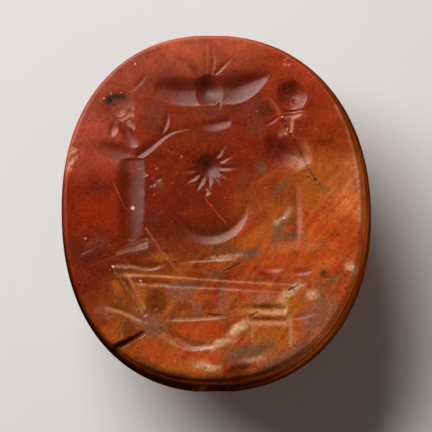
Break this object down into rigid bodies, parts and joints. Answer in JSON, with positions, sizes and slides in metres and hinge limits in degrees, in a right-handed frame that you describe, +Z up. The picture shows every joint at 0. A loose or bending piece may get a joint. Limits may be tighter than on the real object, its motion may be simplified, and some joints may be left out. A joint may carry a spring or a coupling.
{
  "type": "scaraboid stamp seal",
  "caption": "Oval jasper stamp seal, flat face engraved with a winged disc, star, crescent and two figures, domed back, pierced lengthwise for a string.",
  "frame": {"origin": "centre of the overall box in plan, on the resting flat of the domed back", "axes": "+Z up out of the engraved face, +Y towards the top of the engraved scene and along the string hole, +X to its right"},
  "size_m": [0.0184, 0.0212, 0.0086],
  "materials": {
    "red_jasper": "worn satin polish, mottled red, ochre and grey"
  },
  "bodies": {
    "root": {"seal_stone": "red_jasper"}
  },
  "joints": []
}
